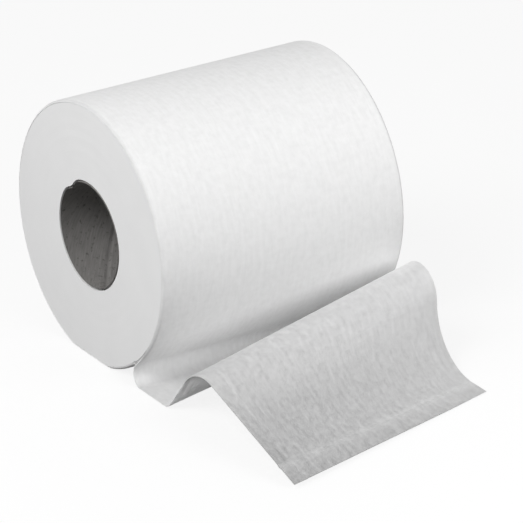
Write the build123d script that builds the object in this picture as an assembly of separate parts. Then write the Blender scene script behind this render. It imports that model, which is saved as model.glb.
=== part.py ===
from build123d import *
import os
from math import cos, degrees, radians, sin, sqrt, tan

# Toilet paper roll lying on its side, with its loose end trailing away in front.
# Millimetres and degrees. X points along the tail, Y along the roll's axis, Z up.
# The origin is on the floor, at the middle of the flat spot that the roll rests on.

# The wound roll
SHEET_WIDTH = 108.0  # width of the paper web, and so the length of the roll
ROLL_DIAMETER = 105.0
SHEET_THICKNESS = 0.4  # two embossed plies, not pressed together
FLAT_SPOT_WIDTH = 28.0  # the soft roll settles on a strip this wide
TURN_PITCH = 5.0  # spacing of the turns that show on the ends, drawn coarser than the paper
TURN_GROOVE_WIDTH = 0.9
TURN_GROOVE_DEPTH = 0.45
RIM_MARGIN = 2.0  # plain paper left inside and outside the turns on the ends

# The cardboard tube that the paper is wound on
CORE_BORE = 41.3
CORE_WALL = 0.8
WINDING_CLEARANCE = 0.1  # between the tube and the first turn
SEAM_PITCH = 88.0  # advance of the tube's spiral butt seam in one turn
SEAM_START = 30.0  # up from the lowest point, where the seam meets the near end
SEAM_WIDTH = 1.0
SEAM_DEPTH = 0.35

# The loose tail: where it parts from the roll, its length, and how far it swings sideways
LEAVE_ANGLE = 39.0  # up from the lowest point of the roll
TAIL_LENGTH = 126.0
TAIL_SWING = 2.0
NIP_GAP = 0.3  # the crevice between tail and roll starts at this opening

# The tail's near edge, in order from the roll: a dip on the floor, then one low hump
NEAR_FLOOR_RUN = 16.0
NEAR_LIFT_RADIUS = 5.0
NEAR_RISE_ANGLE = 53.0
NEAR_HUMP_HEIGHT = 21.5
NEAR_CREST_RADIUS = 15.5
NEAR_FALL_ANGLE = 19.5
NEAR_TOE_RADIUS = 30.0

# The tail's far edge: the hump is higher, closer to the roll and steeper in front
FAR_FLOOR_RUN = 2.0
FAR_LIFT_RADIUS = 5.0
FAR_RISE_ANGLE = 63.0
FAR_HUMP_HEIGHT = 35.5
FAR_CREST_RADIUS = 9.8
FAR_FALL_ANGLE = 82.0
FAR_TOE_RADIUS = 20.0

# Points on the curve of the last turn, patches along the tail, and points on the curve of each patch
SPIRAL_STEPS = 48
TAIL_PATCHES = 12
PATCH_STEPS = 5

# Sizes that follow from those above
roll_radius = ROLL_DIAMETER / 2
half_width = SHEET_WIDTH / 2
core_radius = CORE_BORE / 2 + CORE_WALL
leave = radians(LEAVE_ANGLE)


def turn_radius(turned):
    """Outside of the last turn, which grows by one sheet in 360 degrees of winding."""
    return roll_radius - SHEET_THICKNESS * (1 - turned / 360)


axis_height = sqrt(turn_radius(LEAVE_ANGLE) ** 2 - (FLAT_SPOT_WIDTH / 2) ** 2)


def on_roll(turned):
    """Point of the last turn, after it has wound on by an angle from under the tail."""
    around = leave - radians(turned)
    reach = turn_radius(turned)
    return Vector(reach * sin(around), axis_height - reach * cos(around))


def run_on(edge, length):
    """Straight stretch that carries an edge on from its end."""
    return Line(edge @ 1, edge @ 1 + (edge % 1) * length)


def tail_edge(floor_run, lift_radius, rise_angle, hump_height, crest_radius, fall_angle, toe_radius):
    """Middle line of the sheet at one edge of the tail, as arcs and straight stretches in X and Z."""
    rise, fall = radians(rise_angle), radians(fall_angle)
    radius = roll_radius - SHEET_THICKNESS / 2
    start = Vector(radius * sin(leave), axis_height - radius * cos(leave))
    tuck_radius = (start.Y - SHEET_THICKNESS / 2) / (1 + cos(leave))
    rise_length = (hump_height - (lift_radius + crest_radius) * (1 - cos(rise))) / sin(rise)
    fall_length = (hump_height - (crest_radius + toe_radius) * (1 - cos(fall))) / sin(fall)
    tuck = JernArc(start, (-cos(leave), -sin(leave)), tuck_radius, 180 - LEAVE_ANGLE)
    floor = run_on(tuck, floor_run)
    lift = JernArc(floor @ 1, floor % 1, lift_radius, rise_angle)
    up = run_on(lift, rise_length)
    crest = JernArc(up @ 1, up % 1, crest_radius, -rise_angle - fall_angle)
    down = run_on(crest, fall_length)
    toe = JernArc(down @ 1, down % 1, toe_radius, fall_angle)
    rest = run_on(toe, TAIL_LENGTH)
    return Wire([tuck, floor, lift, up, crest, down, toe, rest])


def on_face(middle, side, along):
    """Point and heading on one face of the sheet, half a thickness from its middle line."""
    point = middle.position_at(along, position_mode=PositionMode.LENGTH)
    ahead = middle.tangent_at(along, position_mode=PositionMode.LENGTH)
    return point + Vector(-ahead.Y, ahead.X) * side * SHEET_THICKNESS / 2, ahead


def tuck_skin(middle, side, first):
    """Arc along one face of the sheet where the tail tucks under the roll, from a length on."""
    tuck = middle.edges()[0]
    point, ahead = on_face(middle, side, first)
    turn = degrees((tuck.length - first) / tuck.radius)
    return JernArc(point, ahead, tuck.radius - side * SHEET_THICKNESS / 2, turn)


def skin(middle, side, first, last):
    """Curve along one face of the sheet between two lengths."""
    steps = [first + (last - first) * step / PATCH_STEPS for step in range(PATCH_STEPS + 1)]
    points, headings = zip(*[on_face(middle, side, along) for along in steps])
    return Spline(*points, tangents=(headings[0], headings[-1]))


def web_section(middle):
    """Outline of the wound paper and its tail at one end of the roll, in X and Z."""
    tuck = middle.edges()[0]
    nip = sqrt(2 * NIP_GAP / (1 / roll_radius + 1 / tuck.radius))
    nip_angle = degrees(nip / roll_radius)
    wound = Spline(*[
        on_roll(nip_angle + (360 - nip_angle) * step / SPIRAL_STEPS)
        for step in range(SPIRAL_STEPS + 1)
    ])
    patch = (TAIL_LENGTH - tuck.length) / TAIL_PATCHES
    cuts = [tuck.length + patch * count for count in range(TAIL_PATCHES + 1)]
    outer = [skin(middle, 1, first, last) for first, last in zip(cuts, cuts[1:])]
    inner = [skin(middle, -1, first, last) for first, last in zip(cuts, cuts[1:])]
    free_end = Line(outer[-1] @ 1, inner[-1] @ 1)
    crevice = Line(on_face(middle, -1, nip)[0], wound @ 0)
    return Wire([
        wound,
        tuck_skin(middle, 1, 0),
        *outer,
        free_end,
        *inner,
        tuck_skin(middle, -1, nip),
        crevice,
    ])


def end_turns():
    """Cutters for the spiral of turns on the near end: half circles that step out on two centres."""
    groove = Polyline(
        (-TURN_GROOVE_WIDTH / 2, -TURN_GROOVE_DEPTH),
        (TURN_GROOVE_WIDTH / 2, -TURN_GROOVE_DEPTH),
        (0, TURN_GROOVE_DEPTH),
        close=True,
    )
    first = core_radius + WINDING_CLEARANCE + RIM_MARGIN
    last = axis_height - RIM_MARGIN - TURN_PITCH / 2
    for half_turn in range(int((last - first) / (TURN_PITCH / 2)) + 1):
        side = 1 if half_turn % 2 == 0 else -1
        centre = side * TURN_PITCH / 4
        radius = first + half_turn * TURN_PITCH / 2
        start = (centre + side * radius, -half_width, axis_height)
        seat = Plane(origin=start, x_dir=(1, 0, 0), z_dir=(0, 0, 1))
        about = Axis((centre, 0, axis_height), (0, -1, 0))
        yield revolve(make_face(seat * groove), axis=about, revolution_arc=180)


def wound_paper():
    """The whole web as one solid: the turns round the core, and the tail lofted between its two edges."""
    near = tail_edge(
        NEAR_FLOOR_RUN,
        NEAR_LIFT_RADIUS,
        NEAR_RISE_ANGLE,
        NEAR_HUMP_HEIGHT,
        NEAR_CREST_RADIUS,
        NEAR_FALL_ANGLE,
        NEAR_TOE_RADIUS,
    )
    far = tail_edge(
        FAR_FLOOR_RUN,
        FAR_LIFT_RADIUS,
        FAR_RISE_ANGLE,
        FAR_HUMP_HEIGHT,
        FAR_CREST_RADIUS,
        FAR_FALL_ANGLE,
        FAR_TOE_RADIUS,
    )
    near_end = Plane.XZ.offset(half_width) * make_face(web_section(near))
    far_end = Plane.XZ.offset(-half_width) * make_face(web_section(far))
    web = loft([near_end, far_end], ruled=True)

    # The hole that the core fills, and the strip that the roll's weight presses flat
    hole = Plane.XZ * Pos(0, axis_height) * Circle(core_radius + WINDING_CLEARANCE)
    web -= extrude(hole, amount=SHEET_WIDTH, both=True)
    sink = roll_radius - axis_height
    strip = Box(FLAT_SPOT_WIDTH + sink, SHEET_WIDTH, sink, align=(Align.CENTER, Align.CENTER, Align.MAX))
    web -= strip

    # The near edge runs in from where the sheet lifts off the floor, as the tail swings to the far end
    lift_off = (near.edges()[1] @ 1).X
    side_step = TAIL_LENGTH * tan(radians(TAIL_SWING))
    wedge = Polyline(
        (lift_off, -half_width),
        (lift_off + TAIL_LENGTH, -half_width - side_step),
        (lift_off + TAIL_LENGTH, -half_width + side_step),
        close=True,
    )
    web -= extrude(make_face(wedge), amount=axis_height / 2)

    near_turns = list(end_turns())
    far_turns = [mirror(cut, Plane.XZ) for cut in near_turns]
    return web - near_turns - far_turns


def core_tube():
    """Cardboard tube of two spiral plies, with the butt seam of the inner ply as a helical groove."""
    ring = Plane.XZ * Pos(0, axis_height) * (Circle(core_radius) - Circle(CORE_BORE / 2))
    tube = extrude(ring, amount=half_width, both=True)
    overrun = 5 * SEAM_WIDTH
    seam = Helix(
        pitch=SEAM_PITCH,
        height=SHEET_WIDTH + 2 * overrun,
        radius=CORE_BORE / 2,
        center=(0, -half_width - overrun, axis_height),
        direction=(0, 1, 0),
    )
    start = seam @ 0
    outwards = start - Vector(0, start.Y, axis_height)
    slot = Plane(origin=start, x_dir=outwards, z_dir=seam % 0) * Rectangle(2 * SEAM_DEPTH, SEAM_WIDTH)
    from_top = 180 - SEAM_START - 360 * overrun / SEAM_PITCH
    groove = sweep(slot, path=seam, is_frenet=True)
    return tube - groove.rotate(Axis((0, 0, axis_height), (0, 1, 0)), from_top)


os.makedirs("parts", exist_ok=True)
export_step(wound_paper(), "parts/tissue_roll.step")
export_step(core_tube(), "parts/cardboard_core.step")
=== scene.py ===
from math import cos, pi, radians, sin, sqrt, tan

import bpy
import numpy as np
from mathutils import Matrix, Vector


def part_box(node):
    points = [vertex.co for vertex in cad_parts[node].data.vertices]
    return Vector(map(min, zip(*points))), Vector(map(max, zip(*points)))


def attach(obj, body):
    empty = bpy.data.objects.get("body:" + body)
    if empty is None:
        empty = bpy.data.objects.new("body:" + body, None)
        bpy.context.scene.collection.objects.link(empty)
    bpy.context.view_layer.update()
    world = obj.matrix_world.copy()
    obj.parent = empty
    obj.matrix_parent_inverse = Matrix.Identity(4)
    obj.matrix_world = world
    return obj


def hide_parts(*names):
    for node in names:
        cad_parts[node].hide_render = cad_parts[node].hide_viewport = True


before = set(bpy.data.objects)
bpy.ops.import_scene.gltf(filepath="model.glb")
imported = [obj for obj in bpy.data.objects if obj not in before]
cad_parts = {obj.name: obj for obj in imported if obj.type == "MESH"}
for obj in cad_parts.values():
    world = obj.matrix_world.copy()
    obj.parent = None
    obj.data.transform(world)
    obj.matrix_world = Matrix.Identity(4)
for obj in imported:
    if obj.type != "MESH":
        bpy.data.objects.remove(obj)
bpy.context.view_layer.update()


# The core: a tube of two grey chipboard plies, wound on a mandrel as a spiral, glued and cut to the
# width of the paper. Its inner ply butts against itself in a shallow helical seam, and the paper's
# first turn is glued to its outside. Lengths from here on are in millimetres.
MM = 0.001
core_low, core_high = (np.array(corner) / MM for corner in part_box("cardboard_core"))
AXIS_HEIGHT = (core_low[2] + core_high[2]) / 2
HALF_WIDTH = core_high[1]
CORE_RADIUS = core_high[0]
CORE_WALL = 0.8
CORE_COLUMNS = 300  # points round the tube
CORE_ROWS = 160  # points along its bore
OUTSIDE_EVERY = 12  # the hidden outside needs only one row in so many
SEAM_PITCH = 88.0  # advance of the seam in one turn
SEAM_START = radians(30)  # up from the lowest point at the near end, towards the tail
SEAM_HALF_WIDTH = 0.55
SEAM_DEPTH = 0.35
DENT_ANGLE = radians(218)  # the rim is knocked in at one place, up from the lowest point
DENT_HALF_WIDTH = radians(9)
DENT_DEPTH = 1.3
DENT_REACH = 9.0  # how far it goes into the tube
BOARD_PALE = "#9C9A98"
BOARD_DARK = "#6C6A68"
BOARD_FLECK = "#565452"
FLECK_SIZE = 1.6  # clumps of recycled fibre
FLECKS_FROM, FLECKS_TO = 0.58, 0.72  # noise level where a fleck starts, and where it is darkest
FLECK_STRENGTH = 0.7
FIBRE_ACROSS = 0.7  # drawn coarser than real fibres, so that they show
FIBRE_ALONG = 6.0
FIBRE_RELIEF = 0.08


def turned(radius, angle, along):
    """Points on the roll's axis system: radius from the axis, angle up from the lowest point towards
    the tail, and distance along the axis, as X, Y and Z."""
    radius, angle, along = np.broadcast_arrays(radius, angle, along)
    return np.stack([radius * np.sin(angle), along, AXIS_HEIGHT - radius * np.cos(angle)], axis=-1)


def closed_skin(name, points, ring, **values):
    """Closed mesh over a grid of points in millimetres. Each square of the grid is a face, and the
    columns close on themselves. The rows do too where ring is true; otherwise each end is capped by
    faces that join the first half of its columns to the second half. Values are kept per point."""
    rows, columns = points.shape[:2]
    number = np.arange(rows * columns).reshape(rows, columns)
    ahead = np.roll(number, -1, axis=0)
    here, there = (number, ahead) if ring else (number[:-1], ahead[:-1])
    faces = [np.stack([here, np.roll(here, -1, 1), np.roll(there, -1, 1), there], -1).reshape(-1, 4)]
    if not ring:
        for end, order in ((number[0], 1), (number[-1], -1)):
            first, second = end[: columns // 2], end[::-1][: columns // 2]
            cap = np.stack([first[:-1], second[:-1], second[1:], first[1:]], -1)
            faces.append(cap[:, ::order])
    faces = np.concatenate(faces)
    places = points.reshape(-1, 3) * MM
    a, b, c, d = (places[faces[:, i]] for i in range(4))
    volume = (np.cross(b - a, c - a) * a).sum() + (np.cross(c - a, d - a) * a).sum()
    if volume < 0:
        faces = faces[:, ::-1]
    mesh = bpy.data.meshes.new(name)
    mesh.from_pydata(places.tolist(), [], faces.tolist())
    for value, numbers in values.items():
        kind, field = ("FLOAT", "value") if numbers.ndim == 2 else ("FLOAT_VECTOR", "vector")
        held = mesh.attributes.new(value, kind, "POINT")
        held.data.foreach_set(field, numbers.astype(np.float32).ravel())
    mesh.polygons.foreach_set("use_smooth", np.ones(len(faces), bool))
    mesh.set_sharp_from_angle(angle=radians(50))
    piece = bpy.data.objects.new(name, mesh)
    bpy.context.scene.collection.objects.link(piece)
    return piece


def linear(hex_colour):
    """sRGB hex colour as linear red, green, blue and alpha."""
    parts = np.array([int(hex_colour[i:i + 2], 16) for i in (1, 3, 5)]) / 255
    light = np.where(parts <= 0.04045, parts / 12.92, ((parts + 0.055) / 1.055) ** 2.4)
    return (*light.tolist(), 1.0)


def add(tree, kind, inputs=(), **settings):
    """Adds a shader node: its settings, then its inputs, each a value or another node's output."""
    node = tree.nodes.new("ShaderNode" + kind)
    for name, value in settings.items():
        setattr(node, name, value)
    for socket, value in dict(inputs).items():
        if isinstance(value, bpy.types.NodeSocket):
            tree.links.new(value, node.inputs[socket])
        else:
            node.inputs[socket].default_value = value
    return node


def new_material(name):
    """Material with an empty node tree, its output node and its principled shader."""
    material = bpy.data.materials.new(name)
    material.use_nodes = True
    tree = material.node_tree
    tree.nodes.clear()
    shader = add(tree, "BsdfPrincipled")
    add(tree, "OutputMaterial", {"Surface": shader.outputs["BSDF"]})
    return material, tree, shader


def rim_dent(angle, along):
    """How far the rim is knocked in: a bell curve of the angle, which dies out along the tube."""
    off = (angle - DENT_ANGLE + pi) % (2 * pi) - pi
    return DENT_DEPTH * np.exp(-((off / DENT_HALF_WIDTH) ** 2) - (along + HALF_WIDTH) / DENT_REACH)


def core_tube():
    """Tube as a ring-shaped profile carried round the axis. The bore's radius grows along the seam,
    by a groove whose depth falls off as a bell curve of the distance from the helix. Each point keeps
    its place on the board, along the seam and across it."""
    bore = CORE_RADIUS - CORE_WALL
    inside = np.linspace(-HALF_WIDTH, HALF_WIDTH, CORE_ROWS)
    outside = inside[::-OUTSIDE_EVERY]
    radius = np.concatenate([np.full(CORE_ROWS, bore), np.full(len(outside), CORE_RADIUS)])[:, None]
    along = np.concatenate([inside, outside])[:, None]
    angle = np.linspace(0, 2 * pi, CORE_COLUMNS, endpoint=False)[None, :]
    seam = SEAM_START - 2 * pi * (along + HALF_WIDTH) / SEAM_PITCH
    lead = SEAM_PITCH / sqrt(SEAM_PITCH**2 + (2 * pi * bore) ** 2)
    off = ((angle - seam + pi) % (2 * pi) - pi) * bore * lead
    groove = SEAM_DEPTH * np.exp(-((off / SEAM_HALF_WIDTH) ** 2))
    inner = radius < CORE_RADIUS - CORE_WALL / 2
    points = turned(radius + groove * inner - rim_dent(angle, along), angle, along)
    with_seam = along * lead - angle * bore * sqrt(1 - lead**2)
    board_mm = np.stack(np.broadcast_arrays(with_seam, off, 0 * off), -1)
    return closed_skin("core_tube", points, True, board_mm=board_mm)


def chipboard():
    """Grey recycled chipboard: dull, with fibres that lie along the spiral and darker flecks."""
    material, tree, shader = new_material("grey_chipboard")
    place = add(tree, "Attribute", attribute_name="board_mm").outputs["Vector"]
    fineness = (1 / FIBRE_ALONG, 1 / FIBRE_ACROSS, 1)
    stretched = add(tree, "VectorMath", {0: place, 1: fineness}, operation="MULTIPLY")
    fibre = add(tree, "TexNoise", {"Vector": stretched.outputs[0], "Scale": 1.0, "Detail": 3.0})
    clump = add(tree, "TexNoise", {"Vector": place, "Scale": 1 / FLECK_SIZE, "Detail": 2.0})
    flecked = {0: clump.outputs[0], 1: FLECKS_FROM, 2: FLECKS_TO, 3: 0.0, 4: FLECK_STRENGTH}
    fleck = add(tree, "MapRange", flecked)
    fibres = {0: fibre.outputs[0], 6: linear(BOARD_DARK), 7: linear(BOARD_PALE)}
    board = add(tree, "Mix", fibres, data_type="RGBA")
    spots = {0: fleck.outputs[0], 6: board.outputs[2], 7: linear(BOARD_FLECK)}
    spotted = add(tree, "Mix", spots, data_type="RGBA")
    raised = {"Height": fibre.outputs[0], "Strength": 0.5, "Distance": FIBRE_RELIEF * MM}
    bump = add(tree, "Bump", raised)
    tree.links.new(spotted.outputs[2], shader.inputs["Base Color"])
    tree.links.new(bump.outputs[0], shader.inputs["Normal"])
    shader.inputs["Roughness"].default_value = 0.9
    shader.inputs["Specular IOR Level"].default_value = 0.2
    return material


core = core_tube()
core.data.materials.append(chipboard())
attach(core, "root")
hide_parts("cardboard_core")


# The wound turns: some 150 turns of two-ply tissue, rolled tightly enough to hold together. Only the
# cut edges of the web show, as a soft pale face on each end, and the roll rests on a small flat strip.
ROLL_RADIUS = 52.5
PAPER = 0.4  # thickness of the web, two plies not pressed together
LEAVE = radians(39)  # where the tail parts from the roll, up from the lowest point
WINDING_CLEARANCE = 0.1
TURN_COLUMNS = 300
END_ROWS = 58  # points from the core to the rim on each end
RIM_ROUNDING = 1.2  # middle of the last turn, which curls over the rims
RIM_CURL = radians(75)
RIM_ROWS = 8
RIM_INSET = 0.1  # between the curled edge's middle and the end of the core
RIM_PLACE = HALF_WIDTH - RIM_INSET - RIM_ROUNDING * sin(RIM_CURL)  # where the rounding starts
SHEET_GAP = 0.03  # left free between sheets that touch
TURN_PITCH = 5.0  # bands of turns that stand a little proud
BAND_HEIGHT = 0.014
SECOND_WAVE = 5.3  # radians of a second wave in one pitch, so that the bands aren't all alike
SECOND_HEIGHT = 0.6  # as a share of the first
DENT_FADES = 6  # power of the distance from the rim at which the core's dent leaves the paper
FLOOR_GAP = 0.45  # the outermost turn lies below
TISSUE_WHITE = "#F4F4F4"
TISSUE_SHADE = "#EEEEEE"
EDGE_PITCH = 0.9  # the real edges lie 0.2 mm apart, so they are drawn coarser to show
EDGE_RELIEF = 0.05
CLOUD_SIZE = 14.0


def last_turn_radius(wound):
    """Outside of the last turn, which grows by one sheet in a full turn."""
    return ROLL_RADIUS - PAPER * (1 - wound / (2 * pi))


def wound_turns():
    """Ring-shaped profile carried round the axis: bore, far end, outside, near end. Each end has bands
    of turns that rise and fall as a sine of the radius along a spiral, and a rounded rim, which starts
    a step lower, so that the edge of the last turn lies flush with the face."""
    bore = CORE_RADIUS + WINDING_CLEARANCE
    wound = np.linspace(0, 2 * pi, TURN_COLUMNS, endpoint=False)
    angle = LEAVE - wound
    outside = last_turn_radius(wound) - PAPER
    rounding = RIM_ROUNDING - PAPER / 2
    share = np.linspace(0, 1, END_ROWS)[:, None]
    rim_step = outside - rounding * (1 - cos(RIM_CURL)) - SHEET_GAP
    face_radius = bore + (rim_step - bore) * share
    first = np.sin(2 * pi * face_radius / TURN_PITCH + wound)
    second = np.sin(SECOND_WAVE * face_radius / TURN_PITCH - 2 * wound)
    band = first + SECOND_HEIGHT * second
    flush = (RIM_ROUNDING + PAPER / 2) * sin(RIM_CURL) - 2 * SHEET_GAP
    face_along = RIM_PLACE + flush + BAND_HEIGHT * band * np.sin(pi * share) ** 0.5
    bend = np.linspace(pi / 2 - RIM_CURL, pi / 2, RIM_ROWS)[:, None]
    rim_radius = outside - rounding * (1 - np.sin(bend))
    rim_along = RIM_PLACE + rounding * np.cos(bend) + 0 * wound
    end_radius = np.concatenate([face_radius, rim_radius])
    end_along = np.concatenate([face_along, rim_along])
    dent = rim_dent(angle, -end_along) * np.concatenate([1 - share, 0 * bend]) ** DENT_FADES
    points = np.concatenate([
        turned(end_radius, angle, end_along),
        turned((end_radius - dent)[::-1], angle, -end_along[::-1]),
    ])
    points[..., 2] = np.maximum(points[..., 2], FLOOR_GAP)
    return closed_skin("wound_turns", points, True)


def web_edges():
    """Cut edges of soft white tissue: matt, with fine rings along the spiral and faint clouding."""
    material, tree, shader = new_material("tissue_edges")
    place = add(tree, "TexCoord").outputs["Object"]
    centred = add(tree, "VectorMath", {0: place, 1: (0, 0, -AXIS_HEIGHT * MM)}, operation="ADD")
    part = add(tree, "SeparateXYZ", {0: centred.outputs[0]})
    flat = add(tree, "CombineXYZ", {0: part.outputs[0], 2: part.outputs[2]})
    reach = add(tree, "VectorMath", {0: flat.outputs[0]}, operation="LENGTH")
    around = add(tree, "Math", {0: part.outputs[0], 1: part.outputs[2]}, operation="ARCTAN2")
    pitches = {0: reach.outputs["Value"], 1: 1 / (EDGE_PITCH * MM)}
    counted = add(tree, "Math", pitches, operation="MULTIPLY")
    wound_on = {0: around.outputs[0], 1: 1 / (2 * pi), 2: counted.outputs[0]}
    spiral = add(tree, "Math", wound_on, operation="MULTIPLY_ADD")
    ringed = {"W": spiral.outputs[0], "Scale": 1.0, "Detail": 2.0}
    rings = add(tree, "TexNoise", ringed, noise_dimensions="1D")
    cloud = add(tree, "TexNoise", {"Vector": place, "Scale": 1 / (CLOUD_SIZE * MM), "Detail": 3.0})
    shades = {0: cloud.outputs[0], 6: linear(TISSUE_SHADE), 7: linear(TISSUE_WHITE)}
    tone = add(tree, "Mix", shades, data_type="RGBA")
    raised = {"Height": rings.outputs[0], "Strength": 0.35, "Distance": EDGE_RELIEF * MM}
    bump = add(tree, "Bump", raised)
    tree.links.new(tone.outputs[2], shader.inputs["Base Color"])
    tree.links.new(bump.outputs[0], shader.inputs["Normal"])
    shader.inputs["Roughness"].default_value = 1.0
    shader.inputs["Specular IOR Level"].default_value = 0.1
    return material


turns = wound_turns()
turns.data.materials.append(web_edges())
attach(turns, "root")
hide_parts("tissue_roll")


# The last turn and the loose end: one sheet of creped two-ply tissue that goes once round the roll,
# parts from it low on the front, doubles back under itself on the floor and trails away over a hump.
TAIL_LENGTH = 126.0
TAIL_SWING = radians(2)  # the near edge runs in as the tail swings to the far end
SWING_FROM = 29.5  # length along the near edge where it lifts off the floor
NEAR_EDGE = {  # radii of the lift, the crest and the toe, and slopes of the rise and the fall
    "floor_run": 16.0, "lift": 5.0, "rise": 53.0, "height": 21.5,
    "crest": 15.5, "fall": 19.5, "toe": 30.0,
}
FAR_EDGE = {
    "floor_run": 2.0, "lift": 4.5, "rise": 69.0, "height": 35.8,
    "crest": 11.5, "fall": 88.0, "toe": 24.0,
}
FAR_LONGER = 1.008  # the free end isn't torn quite square
NIP = radians(2)  # the sheet starts this far under the tail
TURN_STEPS = 250
TAIL_STEP = 0.65  # spacing of points along the tail
LINE_STEPS = 4000  # steps that are added up along an edge
ACROSS_STEPS = 86
CURL_STEPS = 9
FLATTENS = radians(16)  # the curl opens out over this much of the last turn, before the tail
HEM_INSET = 10.0  # crimped line along the free end
HEM_HEIGHT = 0.35
HEM_HALF_WIDTH = 0.9
SIDE_LINE_INSET = 6.0  # crimped line along the near edge
SIDE_LINE_HEIGHT = 0.2
SIDE_LINE_HALF_WIDTH = 0.8
LINES_FROM, LINES_OVER = 60, 10  # both lines start past the hump, and come up over this length
WEB_WHITE = "#FCFCFC"
# grey that the painted shade on the tail and the rims mixes into the white
PAINTED_SHADE_GREY = "#CDCDCD"
CLOUD_SHADE = "#F7F7F7"  # takes this much off the white in the duller clouds
THROUGH_SHARE = 0.53  # of the light on a thin sheet with no others behind it
CLOUD_THINS = 0.5  # clouds let this share more or less of it through
CLOUD_LOW, CLOUD_HIGH = 0.7, 1.3  # noise levels of the dullest and the brightest clouds
# How thin the sheet is at lengths along the tail, at its near and at its far edge. This also scales
# the painted shade below, which follows it past the hump: less on the crest and on the crimped line by
# the free end, more towards the free end
THIN_PLACES = (0, 7, 11, 28, 34, 37, 48, 56, 64, 72, 80, 88, 96, 114, 116, 118, 120, 126)
THIN_NEAR = (
    0, 0.05, 0.9, 0.75, 0.7, 0.75, 0.75, 0.55, 0.64, 0.7, 0.76, 0.82, 0.88, 0.89, 0.79, 0.84, 0.92, 1
)
THIN_FAR = (0, 0, 0, 0, 0, 0, 0, 0.08, 0.42, 0.38, 0.2, 0.48, 0.6, 0.68, 0.58, 0.63, 0.71, 0.79)
SIDE_LINE_HIGHLIGHT = 0.07  # painted highlight on the crimped line: it is drawn less thin there, so less grey
CORNER_SHADE = 0.2  # painted shade by the free corner of the near edge, where it curls down: the sheet is drawn thinner there, so it lets more light through and is greyer
CORNER_SHADE_AT, CORNER_SHADE_OVER, CORNER_SHADE_INTO = 111, 6, 9
# Painted shade: how much greyer the thin sheet is drawn along the tail, times how thin it is, for the
# shade of the floor seen through it
FLOOR_SHADE_PLACES = (6, 11, 28, 34, 46, 54)
FLOOR_SHADE_SHARE = (0.0, 0.5, 0.45, 0.1, 0.1, 1.0)
RIM_PAINTED_SHADE = 0.5  # painted shade on the curled rims, most of all on top of the roll, which takes away their highlight
RIM_PAINTED_SHADE_FROM = radians(30)  # of the curl
CREPE_ALONG = 1.1  # real creping is finer; it is drawn as coarse as it needs to show
CREPE_ACROSS = 3.0
CREPE_RELIEF = 0.12
STREAK_ALONG = 8.0
STREAK_ACROSS = 1.6
STREAK_RELIEF = 2.0  # as a multiple of the crinkles'
MOTTLE_SIZE = 2.4


def edge_line(length, floor_run, lift, rise, height, crest, fall, toe):
    """Middle line of the sheet at one edge of the tail, as X and Z at each length from the roll. The
    line is a chain of arcs and straight runs, so its heading changes evenly along each of them, and
    adding up the steps along the heading gives the places."""
    rise, fall = radians(rise), radians(fall)
    radius = ROLL_RADIUS - PAPER / 2
    x, z = radius * sin(LEAVE), AXIS_HEIGHT - radius * cos(LEAVE)
    tuck = (z - PAPER / 2) / (1 + cos(LEAVE))
    up = (height - (lift + crest) * (1 - cos(rise))) / sin(rise)
    down = (height - (crest + toe) * (1 - cos(fall))) / sin(fall)
    turn = pi - LEAVE
    hump = [lift * rise, up, crest * (rise + fall), down, toe * fall]
    runs = [tuck * turn, floor_run, *hump, TAIL_LENGTH]
    heads = LEAVE - pi + np.cumsum([0, turn, 0, rise, 0, -rise - fall, 0, fall, 0])
    fine = np.linspace(0, length[-1], LINE_STEPS + 1)
    heading = np.interp((fine[1:] + fine[:-1]) / 2, np.cumsum([0, *runs]), heads)
    step = fine[1] - fine[0]
    xs = x + np.concatenate([[0], np.cumsum(np.cos(heading) * step)])
    zs = z + np.concatenate([[0], np.cumsum(np.sin(heading) * step)])
    return np.stack([np.interp(length, fine, xs), np.interp(length, fine, zs)], -1)


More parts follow.
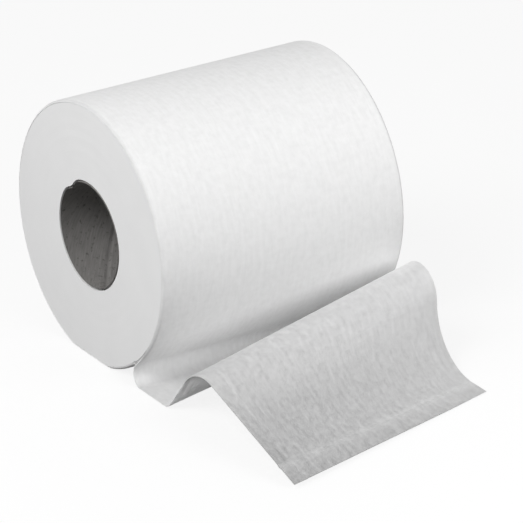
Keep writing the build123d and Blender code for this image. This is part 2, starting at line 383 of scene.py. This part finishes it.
def last_sheet():
    """Sheet as two faces half a thickness from its middle surface. On the roll the middle is a spiral;
    on the tail each point lies on a straight line between the two edge lines at the same length. The
    crimped lines rise from the middle as bell curves of the distance from them. Each point keeps its
    place on the web, how thin the sheet is there and how much painted shade it takes, with both
    faces alike."""
    curled = RIM_ROUNDING * RIM_CURL
    edge = np.linspace(0, curled, CURL_STEPS, endpoint=False)
    place = np.linspace(curled, 2 * HALF_WIDTH - curled, ACROSS_STEPS)
    place = np.concatenate([edge, place, 2 * HALF_WIDTH - edge[::-1]])
    across = place / (2 * HALF_WIDTH)
    wound = np.linspace(NIP, 2 * pi, TURN_STEPS, endpoint=False)[:, None]
    open_out = np.clip((2 * pi - wound) / FLATTENS, 0, 1)
    open_out = open_out**2 * (3 - 2 * open_out)
    radius = last_turn_radius(wound) - PAPER / 2
    from_edge = np.minimum(place, 2 * HALF_WIDTH - place)
    bend = RIM_CURL * np.clip(1 - from_edge / curled, 0, 1)
    straight = RIM_PLACE * np.clip((HALF_WIDTH - from_edge) / (HALF_WIDTH - curled), 0, 1)
    flat_reach, curled_reach = HALF_WIDTH - from_edge, straight + RIM_ROUNDING * np.sin(bend)
    reach = flat_reach + (curled_reach - flat_reach) * open_out
    drop = RIM_ROUNDING * (1 - np.cos(bend)) * open_out
    on_roll = turned(radius - drop, LEAVE - wound, np.sign(across - 0.5) * reach)

    length = np.arange(0, TAIL_LENGTH + TAIL_STEP / 2, TAIL_STEP)
    near = edge_line(length, **NEAR_EDGE)
    far = edge_line(length * FAR_LONGER, **FAR_EDGE)
    middle = near[:, None] + (far - near)[:, None] * across[None, :, None]
    lift_off = near[np.searchsorted(length, SWING_FROM), 0]
    near_side = -HALF_WIDTH + np.maximum(0, near[:, 0] - lift_off) * tan(TAIL_SWING)
    side = near_side[:, None] + (HALF_WIDTH - near_side)[:, None] * across
    on_tail = np.stack([middle[..., 0], side, middle[..., 1]], -1)

    middle = np.concatenate([on_roll, on_tail])
    along = np.concatenate([wound[:, 0] * ROLL_RADIUS - 2 * pi * ROLL_RADIUS, length])
    ahead = np.gradient(middle, axis=0)
    sideways = np.gradient(middle, axis=1)
    normal = np.cross(ahead, sideways)
    normal /= -np.linalg.norm(normal, axis=-1, keepdims=True)

    inwards = middle[..., 1] - middle[:, :1, 1]
    place_along = along[:, None]
    lined = np.clip((place_along - LINES_FROM) / LINES_OVER, 0, 1)
    hem = HEM_HEIGHT * np.exp(-(((place_along - TAIL_LENGTH + HEM_INSET) / HEM_HALF_WIDTH) ** 2))
    side_line = np.exp(-(((inwards - SIDE_LINE_INSET) / SIDE_LINE_HALF_WIDTH) ** 2))
    lifted = middle + normal * ((hem + SIDE_LINE_HEIGHT * side_line) * lined)[..., None]
    half = PAPER / 2 - SHEET_GAP
    outer, inner = lifted + normal * half, lifted - normal * half
    lower, upper = SHEET_GAP, PAPER - SHEET_GAP
    outer[..., 2] = np.maximum(outer[..., 2], np.where(place_along < 0, lower, upper))
    inner[..., 2] = np.maximum(inner[..., 2], np.where(place_along < 0, upper, lower))
    points = np.concatenate([outer, inner[:, ::-1]], axis=1)

    near_thin = np.interp(place_along, THIN_PLACES, THIN_NEAR)
    far_thin = np.interp(place_along, THIN_PLACES, THIN_FAR)
    thin = near_thin + (far_thin - near_thin) * across
    # painted highlight along the crimped line by the near edge
    thin -= SIDE_LINE_HIGHLIGHT * lined * side_line
    # painted shade by the free corner of the near edge
    corner_shade = np.exp(-(((place_along - CORNER_SHADE_AT) / CORNER_SHADE_OVER) ** 2))
    thin += CORNER_SHADE * corner_shade * np.clip(1 - inwards / CORNER_SHADE_INTO, 0, 1)
    thin = np.clip(np.concatenate([thin, thin[:, ::-1]], axis=1), 0, 1)
    # painted shade on the tail: greyer where the thin sheet lies over the floor
    grey = thin * np.interp(place_along, FLOOR_SHADE_PLACES, FLOOR_SHADE_SHARE)
    # painted shade on the curled rims, growing towards the top of the roll, which takes away their
    # highlight
    rim = np.clip(bend * open_out / RIM_PAINTED_SHADE_FROM, 0, 1) * (1 - np.cos(LEAVE - wound)) / 2
    grey[:TURN_STEPS] += RIM_PAINTED_SHADE * np.concatenate([rim, rim[:, ::-1]], axis=1)
    wide = np.concatenate([middle[..., 1], middle[:, ::-1, 1]], axis=1)
    web_mm = np.stack([np.broadcast_to(place_along, wide.shape), wide, 0 * wide], -1)
    return closed_skin("last_sheet", points, False, web_mm=web_mm, thin=thin, grey=grey)


def creped_tissue():
    """Creped white tissue: matt and soft, with fine crinkles across the web, streaks along it and
    faint clouding. A single sheet lets some light through, more where it is thin. Its colour holds
    painted shade, greyer where the thin sheet lies over the floor, by the free corner and on the
    curled rims, and a painted highlight on the crimped line by the near edge."""
    material, tree, shader = new_material("creped_tissue")
    place = add(tree, "Attribute", attribute_name="web_mm").outputs["Vector"]
    thin = add(tree, "Attribute", attribute_name="thin").outputs["Fac"]
    grey = add(tree, "Attribute", attribute_name="grey").outputs["Fac"]
    crinkles = (1 / CREPE_ALONG, 1 / CREPE_ACROSS, 1)
    streaks = (1 / STREAK_ALONG, 1 / STREAK_ACROSS, 1)
    crinkled = add(tree, "VectorMath", {0: place, 1: crinkles}, operation="MULTIPLY")
    crepe = add(tree, "TexNoise", {"Vector": crinkled.outputs[0], "Scale": 1.0, "Detail": 2.0})
    drawn = add(tree, "VectorMath", {0: place, 1: streaks}, operation="MULTIPLY")
    streak = add(tree, "TexNoise", {"Vector": drawn.outputs[0], "Scale": 1.0, "Detail": 3.0})
    mottle = add(tree, "TexNoise", {"Vector": place, "Scale": 1 / MOTTLE_SIZE, "Detail": 3.0})
    cloud = add(tree, "Math", {0: streak.outputs[0], 1: mottle.outputs[0]}, operation="ADD")
    clouds = {0: cloud.outputs[0], 1: CLOUD_LOW, 2: CLOUD_HIGH}
    bright = add(tree, "MapRange", clouds)
    # painted shade: the grey attribute mixes the white towards a grey
    whites = {0: grey, 6: linear(WEB_WHITE), 7: linear(PAINTED_SHADE_GREY)}
    white = add(tree, "Mix", whites, data_type="RGBA").outputs[2]
    dulled = {0: 1.0, 6: white, 7: linear(CLOUD_SHADE)}
    dull = add(tree, "Mix", dulled, data_type="RGBA", blend_type="MULTIPLY")
    tones = {0: bright.outputs[0], 6: dull.outputs[2], 7: white}
    tone = add(tree, "Mix", tones, data_type="RGBA")
    heights = {0: streak.outputs[0], 1: STREAK_RELIEF, 2: crepe.outputs[0]}
    relief = add(tree, "Math", heights, operation="MULTIPLY_ADD")
    raised = {"Height": relief.outputs[0], "Strength": 0.5, "Distance": CREPE_RELIEF * MM}
    bump = add(tree, "Bump", raised)
    tree.links.new(tone.outputs[2], shader.inputs["Base Color"])
    tree.links.new(bump.outputs[0], shader.inputs["Normal"])
    shader.inputs["Roughness"].default_value = 1.0
    shader.inputs["Specular IOR Level"].default_value = 0.1
    most, least = (1 + CLOUD_THINS) * THROUGH_SHARE, (1 - CLOUD_THINS) * THROUGH_SHARE
    uneven = add(tree, "MapRange", {**clouds, 3: most, 4: least})
    share = add(tree, "Math", {0: thin, 1: uneven.outputs[0]}, operation="MULTIPLY")
    through = add(tree, "BsdfTranslucent", {"Color": tone.outputs[2], "Normal": bump.outputs[0]})
    both = add(tree, "MixShader", {0: share.outputs[0], 1: shader.outputs[0], 2: through.outputs[0]})
    tree.links.new(both.outputs[0], tree.nodes["Material Output"].inputs["Surface"])
    return material


sheet = last_sheet()
sheet.data.materials.append(creped_tissue())
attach(sheet, "root")
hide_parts("tissue_roll")


# The studio: a plain pale floor that stays white to the camera and keeps the roll's shadow, light
# from all round, a large soft lamp high on the left, a small one close to the near end and one close
# to the tail, a low one behind, and a long lens at the viewing angle.
FLOOR_WHITE = "#FAFAFA"
FLOOR_GREY = "#606060"  # what it gives back to the roll
FLOOR_SIZE = 12.0  # metres
FLOOR_GLOW = 0.85  # share of the floor that is plain white to the camera
SKY_STRENGTH = 0.25
LAMPS_FACE = (30.0, 0.0, 40.0)
LAMPS = {  # azimuth from the camera's and elevation in degrees, distance and size in metres, watts
    "key_lamp": (-40, 48, 2.5, 1.0, 23.5),
    "end_lamp": (-57, 26, 0.5, 0.35, 0.98),
    "tail_lamp": (58, 24, 0.5, 0.35, 1.22),
    "back_lamp": (165, 10, 2.5, 1.0, 18.0),
}
CAMERA_AZIMUTH = radians(57.049)
CAMERA_ELEVATION = radians(24.493)
CAMERA_DISTANCE = 2257.4
PICTURE_SIDE = 523
LENS_PIXELS = 5925.0
TARGET_RIGHT = 19.58
TARGET_UP = -22.37
TARGET_HEIGHT = 50.6


def seen_rays(tree, unseen, seen):
    """One value on camera, glossy and transmission rays, and another on the rest."""
    path = add(tree, "LightPath").outputs
    direct = {0: path["Is Camera Ray"], 1: path["Is Glossy Ray"]}
    mirrored = add(tree, "Math", direct, operation="MAXIMUM")
    passed = {0: mirrored.outputs[0], 1: path["Is Transmission Ray"]}
    any_seen = add(tree, "Math", passed, operation="MAXIMUM")
    return add(tree, "MapRange", {0: any_seen.outputs[0], 3: unseen, 4: seen}).outputs[0]


def floor_plane():
    """Flat square of matt paint, which is mostly plain white to the camera and darker to the roll."""
    half = FLOOR_SIZE / 2
    corners = [(-half, -half, 0), (half, -half, 0), (half, half, 0), (-half, half, 0)]
    mesh = bpy.data.meshes.new("floor")
    mesh.from_pydata(corners, [], [(0, 1, 2, 3)])
    floor = bpy.data.objects.new("floor", mesh)
    bpy.context.scene.collection.objects.link(floor)
    material = bpy.data.materials.new("pale_floor")
    material.use_nodes = True
    tree = material.node_tree
    tree.nodes.clear()
    seen = seen_rays(tree, 0.0, 1.0)
    colours = {0: seen, 6: linear(FLOOR_GREY), 7: linear(FLOOR_WHITE)}
    colour = add(tree, "Mix", colours, data_type="RGBA")
    paint = add(tree, "BsdfDiffuse", {"Color": colour.outputs[2]})
    glow = add(tree, "Emission", {"Strength": 1.0})
    white_share = seen_rays(tree, 0.0, FLOOR_GLOW)
    mixed = add(tree, "MixShader", {0: white_share, 1: paint.outputs[0], 2: glow.outputs[0]})
    add(tree, "OutputMaterial", {"Surface": mixed.outputs[0]})
    mesh.materials.append(material)
    return floor


floor_plane()

world = bpy.data.worlds.new("studio")
world.use_nodes = True
bpy.context.scene.world = world
world.node_tree.nodes.clear()
sky = add(world.node_tree, "Background", {"Strength": seen_rays(world.node_tree, SKY_STRENGTH, 1.0)})
sky.inputs["Color"].default_value = (1.0, 1.0, 1.0, 1.0)
add(world.node_tree, "OutputWorld", {"Surface": sky.outputs[0]})

right = np.array([cos(CAMERA_AZIMUTH), sin(CAMERA_AZIMUTH), 0])
back = np.array([
    sin(CAMERA_AZIMUTH) * cos(CAMERA_ELEVATION),
    -cos(CAMERA_AZIMUTH) * cos(CAMERA_ELEVATION),
    sin(CAMERA_ELEVATION),
])
up = np.cross(back, right)
target = np.array([0, 0, TARGET_HEIGHT]) + right * TARGET_RIGHT + up * TARGET_UP
lens = bpy.data.cameras.new("camera")
lens.sensor_width = 36.0
lens.lens = LENS_PIXELS / PICTURE_SIDE * lens.sensor_width
lens.clip_end = 50.0
camera = bpy.data.objects.new("camera", lens)
axes = np.eye(4)
axes[:3, :3] = np.stack([right, up, back], axis=1)
axes[:3, 3] = (target + back * CAMERA_DISTANCE) * MM
camera.matrix_world = axes.T.tolist()
bpy.context.scene.collection.objects.link(camera)
bpy.context.scene.camera = camera


def soft_lamp(name, azimuth, elevation, distance, size, power):
    """Square soft lamp that faces the roll, at an azimuth from the camera's, in metres and watts."""
    turn, rise = CAMERA_AZIMUTH + radians(azimuth), radians(elevation)
    toward = np.array([sin(turn) * cos(rise), -cos(turn) * cos(rise), sin(rise)])
    across = np.array([cos(turn), sin(turn), 0])
    panel = bpy.data.lights.new(name, "AREA")
    panel.size = size
    panel.energy = power
    lamp = bpy.data.objects.new(name, panel)
    stand = np.eye(4)
    stand[:3, :3] = np.stack([across, np.cross(toward, across), toward], axis=1)
    stand[:3, 3] = np.array(LAMPS_FACE) * MM + toward * distance
    lamp.matrix_world = stand.T.tolist()
    bpy.context.scene.collection.objects.link(lamp)


for name, lamp in LAMPS.items():
    soft_lamp(name, *lamp)

bpy.context.scene.view_settings.view_transform = "Standard"
